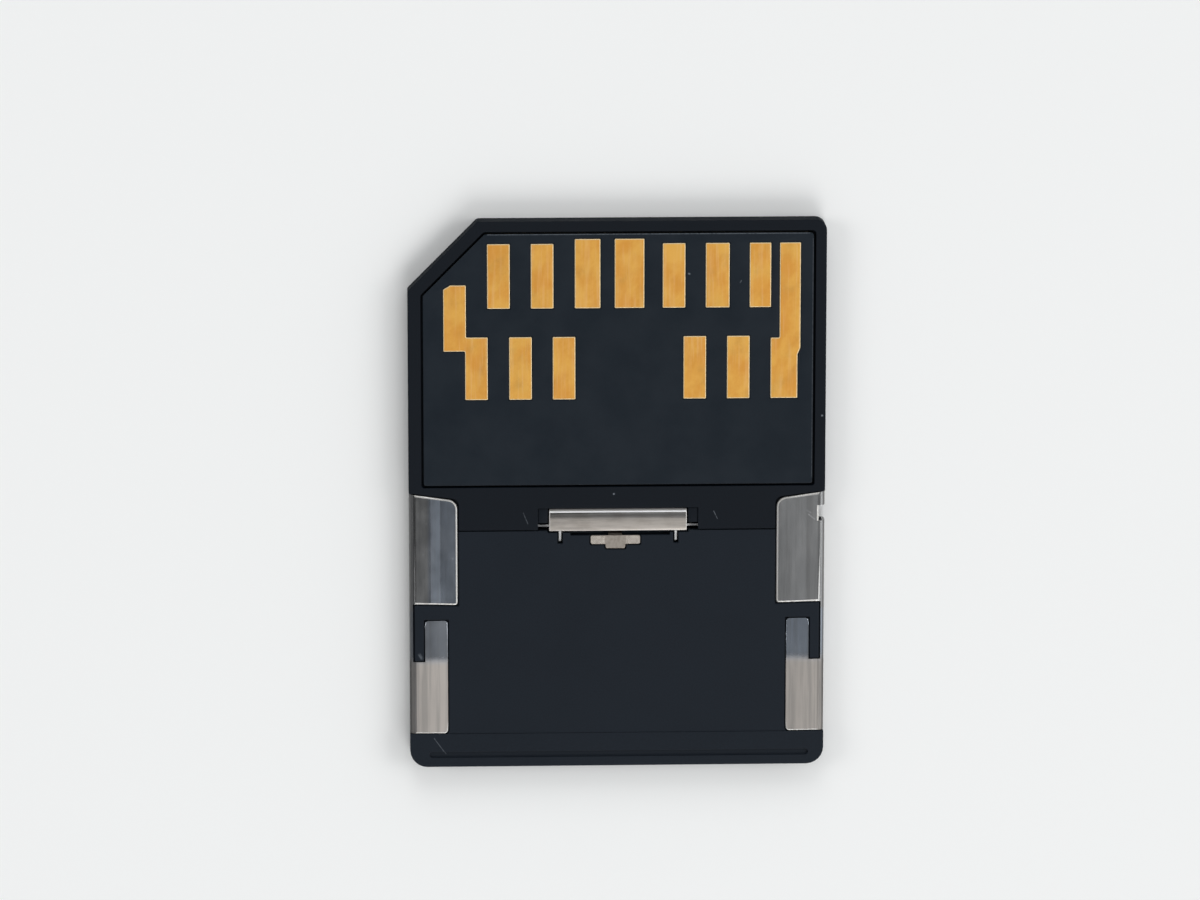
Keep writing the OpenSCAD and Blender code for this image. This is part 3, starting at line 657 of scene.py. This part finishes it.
    # painted highlight: each tail is drawn near-white and almost without metal, standing in for the glints on its
    # edges
    tails = addNode(tree, "ShaderNodeMapRange", smooth, {
        "Value": (axes, "Y"), "From Min": s["rearEdge"] - 0.07, "From Max": s["rearEdge"] - 0.12,
    })
    colour = addNode(tree, "ShaderNodeMixRGB", {}, {
        "Fac": (tails, "Result"), "Color1": (colour, "Color"), "Color2": s["tails"],
    })
    metal = addNode(tree, "ShaderNodeMapRange", smooth, {
        "Value": (tails, "Result"), "To Min": 1.0, "To Max": s["tailHighlightMetal"],
    })
    bump = addNode(tree, "ShaderNodeBump", {}, {
        "Strength": 0.15, "Distance": 0.004 * mm, "Height": (lines, "Fac"),
    })
    shader = addNode(tree, "ShaderNodeBsdfPrincipled", {}, {
        "Base Color": (colour, "Color"), "Roughness": (rough, "Value"), "Normal": (bump, "Normal"),
        "Metallic": (metal, "Result"),
    })
    addNode(tree, "ShaderNodeOutputMaterial", {}, {"Surface": (shader, "BSDF")})
    return material


# Copper-alloy spring with a dull nickel finish, knurled at the ends of its cross; painted shade darkens the knurl's
# grooves and the tongue
nickelSpring = {
    "dark": "#948a80", "light": "#d2cac0", "tongue": "#2c2622", "rough": 0.55,
    "knurl": 21.0,  # flanks per mm, two to a ridge
    "diagonal": 1.414,  # x + y for each mm across a ridge at 45 degrees
    "knurlFrom": 0.62, "middle": -0.1, "tongueFrom": -2.33,  # mm
}


def makeNickelSpring(s):
    material, tree = newMaterial("dullNickelSpring")
    place = coordsInMm(tree)
    axes = addNode(tree, "ShaderNodeSeparateXYZ", {}, {"Vector": (place, "Vector")})
    fromMiddle = addNode(tree, "ShaderNodeMath", {"operation": "SUBTRACT"}, {0: (axes, "X"), 1: s["middle"]})
    fromMiddle = addNode(tree, "ShaderNodeMath", {"operation": "ABSOLUTE"}, {0: (fromMiddle, "Value")})
    knurled = addNode(tree, "ShaderNodeMapRange", smooth, {
        "Value": (fromMiddle, "Value"), "From Min": s["knurlFrom"] - 0.04, "From Max": s["knurlFrom"] + 0.04,
    })
    waves = []
    for sign in (1.0, -1.0):
        slant = addNode(tree, "ShaderNodeMath", {"operation": "MULTIPLY"}, {0: (axes, "Y"), 1: sign})
        slant = addNode(tree, "ShaderNodeMath", {"operation": "ADD"}, {0: (slant, "Value"), 1: (axes, "X")})
        slant = addNode(tree, "ShaderNodeMath", {"operation": "MULTIPLY"}, {
            0: (slant, "Value"), 1: s["knurl"] * math.pi / s["diagonal"],
        })
        wave = addNode(tree, "ShaderNodeMath", {"operation": "SINE"}, {0: (slant, "Value")})
        waves.append((wave, "Value"))
    ridges = addNode(tree, "ShaderNodeMath", {"operation": "MAXIMUM"}, {0: waves[0], 1: waves[1]})
    height = addNode(tree, "ShaderNodeMath", {"operation": "MULTIPLY"}, {
        0: (ridges, "Value"), 1: (knurled, "Result"),
    })
    # partly painted shade: the knurl's grooves are drawn dark and its crests light, over the bump; random spots
    # darken it too
    tone = addNode(tree, "ShaderNodeMapRange", smooth, {
        "Value": (height, "Value"), "From Min": -0.2, "To Min": 0.4,
    })
    spots = stretchedNoise(tree, place, (6, 6, 6), 3)
    spotted = addNode(tree, "ShaderNodeMapRange", smooth, {
        "Value": (spots, "Fac"), "From Min": 0.3, "From Max": 0.6, "To Min": 0.5,
    })
    tone = addNode(tree, "ShaderNodeMath", {"operation": "MULTIPLY"}, {
        0: (tone, "Result"), 1: (spotted, "Result"),
    })
    colour = addNode(tree, "ShaderNodeMixRGB", {}, {
        "Fac": (tone, "Value"), "Color1": s["dark"], "Color2": s["light"],
    })
    tongue = addNode(tree, "ShaderNodeMapRange", smooth, {
        "Value": (axes, "Y"), "From Min": s["tongueFrom"] - 0.03, "From Max": s["tongueFrom"] + 0.03,
    })
    # painted shade: the tongue is drawn dark where it dives under the bar
    colour = addNode(tree, "ShaderNodeMixRGB", {}, {
        "Fac": (tongue, "Result"), "Color1": (colour, "Color"), "Color2": s["tongue"],
    })
    bump = addNode(tree, "ShaderNodeBump", {}, {
        "Strength": 0.6, "Distance": 0.02 * mm, "Height": (height, "Value"),
    })
    shader = addNode(tree, "ShaderNodeBsdfPrincipled", {}, {
        "Metallic": 1.0, "Roughness": s["rough"], "Base Color": (colour, "Color"),
        "Normal": (bump, "Normal"),
    })
    addNode(tree, "ShaderNodeOutputMaterial", {}, {"Surface": (shader, "BSDF")})
    return material


# Steel wire drawn near-white and almost without metal, a painted highlight standing in for the glints on the wire
wirePaintedWhite = {"dark": "#f4f4f2", "light": "#ffffff", "rough": 0.6, "metal": 0.1}


def makeWirePaintedWhite(s):
    material, tree = newMaterial("steelWirePaintedWhite")
    place = coordsInMm(tree)
    lines = stretchedNoise(tree, place, (0.5, 16, 16), 2)
    colour = addNode(tree, "ShaderNodeMixRGB", {}, {
        "Fac": (lines, "Fac"), "Color1": s["dark"], "Color2": s["light"],
    })
    bump = addNode(tree, "ShaderNodeBump", {}, {
        "Strength": 0.1, "Distance": 0.004 * mm, "Height": (lines, "Fac"),
    })
    shader = addNode(tree, "ShaderNodeBsdfPrincipled", {}, {
        "Metallic": s["metal"], "Roughness": s["rough"], "Base Color": (colour, "Color"),
        "Normal": (bump, "Normal"),
    })
    addNode(tree, "ShaderNodeOutputMaterial", {}, {"Surface": (shader, "BSDF")})
    return material


# Electroplated gold over nickel: warm satin, a little duller in patches, with faint wiping lines along each contact
platedGold = {
    "deep": "#efae52", "light": "#f8c364", "dull": "#c8945a", "pale": "#ffd79a",
    "paleShare": 0.35, "dullShare": 0.22, "rough": 0.6,
}


def makePlatedGold(s):
    material, tree = newMaterial("goldOverNickel")
    place = coordsInMm(tree)
    patches = stretchedNoise(tree, place, (0.8, 0.55, 1), 5, 20)
    wiping = stretchedNoise(tree, place, (7, 0.35, 1), 3)
    smudges = stretchedNoise(tree, place, (1.1, 0.9, 1), 3, 35, (4.2, 1.4, 0))
    patched = addNode(tree, "ShaderNodeMapRange", smooth, {
        "Value": (patches, "Fac"), "From Min": 0.35, "From Max": 0.65,
    })
    wiped = addNode(tree, "ShaderNodeMapRange", smooth, {
        "Value": (wiping, "Fac"), "From Min": 0.45, "From Max": 0.75, "To Max": s["paleShare"],
    })
    smudged = addNode(tree, "ShaderNodeMapRange", smooth, {
        "Value": (smudges, "Fac"), "From Min": 0.55, "From Max": 0.8, "To Max": s["dullShare"],
    })
    colour = addNode(tree, "ShaderNodeMixRGB", {}, {
        "Fac": (patched, "Result"), "Color1": s["deep"], "Color2": s["light"],
    })
    colour = addNode(tree, "ShaderNodeMixRGB", {}, {
        "Fac": (wiped, "Result"), "Color1": (colour, "Color"), "Color2": s["pale"],
    })
    colour = addNode(tree, "ShaderNodeMixRGB", {}, {
        "Fac": (smudged, "Result"), "Color1": (colour, "Color"), "Color2": s["dull"],
    })
    grain = stretchedNoise(tree, place, (22, 22, 22), 2)
    bump = addNode(tree, "ShaderNodeBump", {}, {
        "Strength": 0.2, "Distance": 0.003 * mm, "Height": (grain, "Fac"),
    })
    rough = addNode(tree, "ShaderNodeMapRange", smooth, {
        "Value": (smudges, "Fac"), "From Min": 0.4, "From Max": 0.75, "To Min": s["rough"],
        "To Max": s["rough"] - 0.05,
    })
    shader = addNode(tree, "ShaderNodeBsdfPrincipled", {}, {
        "Metallic": 1.0, "Base Color": (colour, "Color"), "Roughness": (rough, "Result"),
        "Normal": (bump, "Normal"),
    })
    addNode(tree, "ShaderNodeOutputMaterial", {}, {"Surface": (shader, "BSDF")})
    return material


# The eased rims on the steel wings and round the gold contacts:
# the same metals drawn pale and a little rougher, a painted highlight along the edges
rimHighlights = {
    "steel": "#dcdbd8", "steelRough": 0.5, "gold": "#ffe7b8", "goldRough": 0.62,
    "speck": "#a89c8c", "speckShare": 0.3, "specks": 7.0,  # specks per mm
}


def makeHighlightRim(name, colourName, roughName, s):
    material, tree = newMaterial(name)
    place = coordsInMm(tree)
    specks = stretchedNoise(tree, place, (s["specks"],) * 3, 3)
    shade = addNode(tree, "ShaderNodeMapRange", smooth, {
        "Value": (specks, "Fac"), "From Min": 0.35, "From Max": 0.7, "To Max": s["speckShare"],
    })
    colour = addNode(tree, "ShaderNodeMixRGB", {}, {
        "Fac": (shade, "Result"), "Color1": s[colourName], "Color2": s["speck"],
    })
    rough = addNode(tree, "ShaderNodeMapRange", smooth, {
        "Value": (specks, "Fac"), "From Min": 0.3, "From Max": 0.7, "To Min": s[roughName] - 0.05,
        "To Max": s[roughName] + 0.08,
    })
    shader = addNode(tree, "ShaderNodeBsdfPrincipled", {}, {
        "Metallic": 1.0, "Base Color": (colour, "Color"), "Roughness": (rough, "Result"),
    })
    addNode(tree, "ShaderNodeOutputMaterial", {}, {"Surface": (shader, "BSDF")})
    return material


steelHighlightRim = makeHighlightRim("steelRimPaintedHighlight", "steel", "steelRough", rimHighlights)
goldHighlightRim = makeHighlightRim("goldRimPaintedHighlight", "gold", "goldRough", rimHighlights)
shellSteel = makeRolledSteel(rolledSteel)
barSteel = makePressedSteel(pressedSteel)
footSteel = makeNickelSpring(nickelSpring)
wireMaterialPaintedWhite = makeWirePaintedWhite(wirePaintedWhite)
gold = makePlatedGold(platedGold)
say("materials")


# Pieces made from the solids: merged, cleaned to flat faces, edges eased and shaded

def copySolid(nodeName, pieceName, dissolve=True):
    source = nodes[nodeName]
    piece = source.copy()
    piece.data = source.data.copy()
    piece.name = pieceName
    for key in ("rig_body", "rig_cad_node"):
        if key in piece:
            del piece[key]
    piece.parent = None
    bpy.context.scene.collection.objects.link(piece)
    makeActive(piece)
    bpy.ops.object.mode_set(mode="EDIT")
    bpy.ops.mesh.select_all(action="SELECT")
    bpy.ops.mesh.remove_doubles(threshold=0.0005 * mm)
    if dissolve:
        bpy.ops.mesh.dissolve_limited(angle_limit=math.radians(0.5))
    bpy.ops.object.mode_set(mode="OBJECT")
    return piece


def easeEdges(piece, width, segments):
    bevel = piece.modifiers.new("easedEdges", "BEVEL")
    bevel.width = width * mm
    bevel.segments = segments
    bevel.limit_method = "ANGLE"
    bevel.angle_limit = math.radians(30)
    bevel.use_clamp_overlap = False
    bevel.miter_outer = "MITER_ARC"
    applyModifiers(piece)


def easeChosenEdges(piece, chosen, width, segments, rim=-1):
    # chosen says of an edge, by its two ends and the normals beside it, whether it is eased; rim is a material slot
    beside = {}
    for face in piece.data.polygons:
        for key in face.edge_keys:
            beside.setdefault(key, []).append(face.normal.copy())
    makeActive(piece)
    bpy.ops.object.mode_set(mode="EDIT")
    bpy.ops.mesh.select_mode(type="EDGE")
    bpy.ops.mesh.select_all(action="DESELECT")
    bpy.ops.object.mode_set(mode="OBJECT")
    mesh = piece.data
    for edge in mesh.edges:
        normals = beside.get(tuple(sorted(edge.vertices)), [])
        if len(normals) == 2 and normals[0].angle(normals[1], 0) > math.radians(30):
            a, b = (mesh.vertices[i].co.copy() for i in edge.vertices)
            edge.select = bool(chosen(a, b, normals))
    bpy.ops.object.mode_set(mode="EDIT")
    bpy.ops.mesh.bevel(offset=width * mm, segments=segments, affect="EDGES", clamp_overlap=False, material=rim)
    bpy.ops.mesh.select_mode(type="VERT")
    bpy.ops.object.mode_set(mode="OBJECT")


def giveMaterials(piece, *materials):
    piece.data.materials.clear()
    for material in materials:
        piece.data.materials.append(material)


def dressPiece(piece, nodeName, body, material=None):
    makeActive(piece)
    bpy.ops.object.shade_smooth_by_angle(angle=math.radians(32))
    weights = piece.modifiers.new("flatFaces", "WEIGHTED_NORMAL")  # large faces stay flat, eased edges blend
    weights.mode = "FACE_AREA"
    weights.weight = 100
    weights.keep_sharp = True
    applyModifiers(piece)
    if material:
        giveMaterials(piece, material)
    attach(piece, body)
    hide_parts(nodeName)
    return piece


def easedCopy(nodeName, pieceName, body, material, edge, segments=2):
    piece = copySolid(nodeName, pieceName)
    easeEdges(piece, edge, segments)
    return dressPiece(piece, nodeName, body, material)


def dullWalls(piece, material):
    piece.data.materials.append(material)
    for face in piece.data.polygons:
        if abs(face.normal.z) < 0.5:
            face.material_index = len(piece.data.materials) - 1


dullWalls(easedCopy("card_housing", "cardTray", "card", cardPlastic, 0.03), cardWalls)

boardEdge = {"ease": 0.025, "segments": 2}  # mm


def makeBoard(s):
    # only the outline is eased, the pockets for the contacts stay crisp
    board = copySolid("circuit_board", "cardBoard", dissolve=False)
    places = [v.co.copy() for v in board.data.vertices]
    top = max(p.z for p in places)
    sides = (min(p.x for p in places), max(p.x for p in places))
    ends = (min(p.y for p in places), max(p.y for p in places))
    corner = max(p.y - p.x for p in places)
    near = 0.01 * mm

    def onOutline(a, b, normals):
        if min(a.z, b.z) < top - near:
            return False
        return (any(abs(a.x - x) < near and abs(b.x - x) < near for x in sides)
                or any(abs(a.y - y) < near and abs(b.y - y) < near for y in ends)
                or (a.y - a.x > corner - near and b.y - b.x > corner - near))

    easeChosenEdges(board, onOutline, s["ease"], s["segments"])
    return dressPiece(board, "circuit_board", "card", solderMask)


makeBoard(boardEdge)

contactPad = {"rim": 0.055, "segments": 2}  # mm


def makeContact(i, s):
    pad = copySolid(f"contact_{i:02d}", f"goldContact{i:02d}")
    # the second slot is the pale gold rim, a painted highlight along the pad's top edge
    giveMaterials(pad, gold, goldHighlightRim)

    def onTop(a, b, normals):
        return max(n.z for n in normals) > 0.9

    easeChosenEdges(pad, onTop, s["rim"], s["segments"], rim=1)
    return dressPiece(pad, f"contact_{i:02d}", "card")


for i in range(1, 14):
    makeContact(i, contactPad)
easedCopy("adapter_frame", "adapterBody", "adapter", adapterPlastic, 0.03)

foldedShell = {
    "rim": 0.11, "rearRim": 0.07, "tabRim": 0.045, "segments": 2, "wingsFrom": 1.12, "bendFrom": 11.66,  # mm
    "rearFrom": -7.0, "rearInside": 11.2, "tabRoot": (11.1, -9.76),  # mm
    "corners": ((9.2, -6.4), (9.8, -7.32), (11.1, -7.32)), "cornerRadius": 0.18,  # mm
    "frontCorner": (9.2, -0.22), "frontReach": 0.33, "frontSpread": 1.7,  # mm, mm and times
}


def makeFoldedShell(s):
    # the stamping draws the outer edge of each wing over into a rounded rim, which takes the pale rim material as a
    # painted highlight
    shell = copySolid("steel_shell", "foldedShell")

    def onCorner(a, b, normals):
        upright = abs(a.x - b.x) < 0.002 * mm and abs(a.y - b.y) < 0.002 * mm
        return upright and min(a.z, b.z) > s["wingsFrom"] * mm and any(
            abs(abs(a.x) - x * mm) < 0.05 * mm and abs(a.y - y * mm) < 0.05 * mm for x, y in s["corners"])

    def onFrontWing(a, b, normals):
        return (min(a.z, b.z) > s["wingsFrom"] * mm and max(n.z for n in normals) > 0.5
                and max(abs(a.x), abs(b.x)) < s["bendFrom"] * mm and min(a.y, b.y) > s["rearFrom"] * mm)

    def atTabRoot(p):
        return math.hypot(abs(p.x) - s["tabRoot"][0] * mm, p.y - s["tabRoot"][1] * mm) < 0.3 * mm

    def onTab(a, b, normals):
        return (min(a.z, b.z) > s["wingsFrom"] * mm and max(n.z for n in normals) > 0.5
                and max(abs(a.x), abs(b.x)) < s["rearInside"] * mm and max(a.y, b.y) < s["rearFrom"] * mm
                and min(a.y, b.y) > s["tabRoot"][1] * mm - 0.01 * mm and not atTabRoot(a) and not atTabRoot(b))

    def onRearWing(a, b, normals):
        return (min(a.z, b.z) > s["wingsFrom"] * mm and max(n.z for n in normals) > 0.5
                and max(abs(a.x), abs(b.x)) < s["bendFrom"] * mm and max(a.y, b.y) < s["tabRoot"][1] * mm - 0.3 * mm)

    # the front wings' inner corners are rounder than the solid's
    for vertex in shell.data.vertices:
        place = vertex.co
        side = 1 if place.x > 0 else -1
        tip = Vector((side * s["frontCorner"][0] * mm, s["frontCorner"][1] * mm, place.z))
        if place.z > s["wingsFrom"] * mm and (place - tip).length < s["frontReach"] * mm:
            vertex.co = tip + (place - tip) * s["frontSpread"]
    giveMaterials(shell, shellSteel, steelHighlightRim)
    easeChosenEdges(shell, onCorner, s["cornerRadius"], 4)
    easeChosenEdges(shell, onFrontWing, s["rim"], s["segments"], rim=1)
    easeChosenEdges(shell, onTab, s["tabRim"], s["segments"])
    easeChosenEdges(shell, onRearWing, s["rearRim"], s["segments"], rim=1)
    for vertex in shell.data.vertices:
        vertex.co.z = min(vertex.co.z, cadHigh[2])  # a rim that runs into the bend stays level with the top
    return dressPiece(shell, "steel_shell", "adapter")


makeFoldedShell(foldedShell)
easedCopy("latch_bar", "rockingBar", "latch", barSteel, 0.045, 3)
easedCopy("hinge_pin", "hingeWire", "adapter", wireMaterialPaintedWhite, 0.01)

springFoot = {"tongueFrom": -2.34, "tongueDrop": 0.3}  # mm


def makeSpringFoot(s):
    # the tongue dives under the bar, so it is drawn down behind the cross
    foot = easedCopy("latch_spring", "springFoot", "adapter", footSteel, 0.03, 3)
    for vertex in foot.data.vertices:
        if vertex.co.y > s["tongueFrom"] * mm:
            vertex.co.z -= s["tongueDrop"] * mm
    foot.data.update()
    return foot


makeSpringFoot(springFoot)

notchLedge = {
    "left": -4.555, "right": -4.0, "rear": -1.98, "step": -1.6, "front": -0.74,  # mm
    "bottom": 0.48, "lowTop": 0.8, "highTop": 1.33, "ease": 0.03, "apart": 8.655,  # mm
}


def makeNotchLedges(s):
    # a stepped block at each end of the notch: low under the wire, high before it
    low = Vector((s["left"], s["rear"], s["bottom"])) * mm
    high = Vector((s["right"], s["front"], s["lowTop"])) * mm
    deselectAll()
    bpy.ops.mesh.primitive_cube_add(size=1, location=(low + high) / 2)
    ledges = bpy.context.object
    ledges.name = "notchLedges"
    ledges.scale = high - low
    bpy.ops.object.transform_apply(location=True, rotation=True, scale=True)
    bpy.ops.object.mode_set(mode="EDIT")
    bpy.ops.mesh.select_all(action="SELECT")
    bpy.ops.mesh.bisect(plane_co=(0, s["step"] * mm, 0), plane_no=(0, 1, 0))
    bpy.ops.mesh.select_mode(type="FACE")
    bpy.ops.mesh.select_all(action="DESELECT")
    bpy.ops.object.mode_set(mode="OBJECT")
    for face in ledges.data.polygons:
        face.select = face.normal.z > 0.9 and face.center.y > s["step"] * mm
    bpy.ops.object.mode_set(mode="EDIT")
    bpy.ops.mesh.extrude_region_move(TRANSFORM_OT_translate={"value": (0, 0, (s["highTop"] - s["lowTop"]) * mm)})
    bpy.ops.mesh.select_mode(type="VERT")
    bpy.ops.object.mode_set(mode="OBJECT")
    easeEdges(ledges, s["ease"], 3)
    bpy.ops.object.duplicate()
    other = bpy.context.object
    other.location.x = s["apart"] * mm
    bpy.ops.object.transform_apply(location=True, rotation=False, scale=False)
    makeActive(ledges)
    other.select_set(True)
    bpy.ops.object.join()
    bpy.ops.object.shade_smooth_by_angle(angle=math.radians(32))
    giveMaterials(ledges, cardPlastic)
    dullWalls(ledges, cardWalls)
    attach(ledges, "card")


makeNotchLedges(notchLedge)
say("outer pieces")

hidden = {
    "adhesive_frame": bondFilm, "memory_chip": chipResin, "controller_chip": chipResin,
}
for i in range(1, 4):
    hidden[f"capacitor_{i}"] = firedCeramic
for i in range(1, 5):
    hidden[f"resistor_{i}"] = coatedCeramic
for nodeName, material in hidden.items():
    giveMaterials(nodes[nodeName], material)
say("inner pieces")
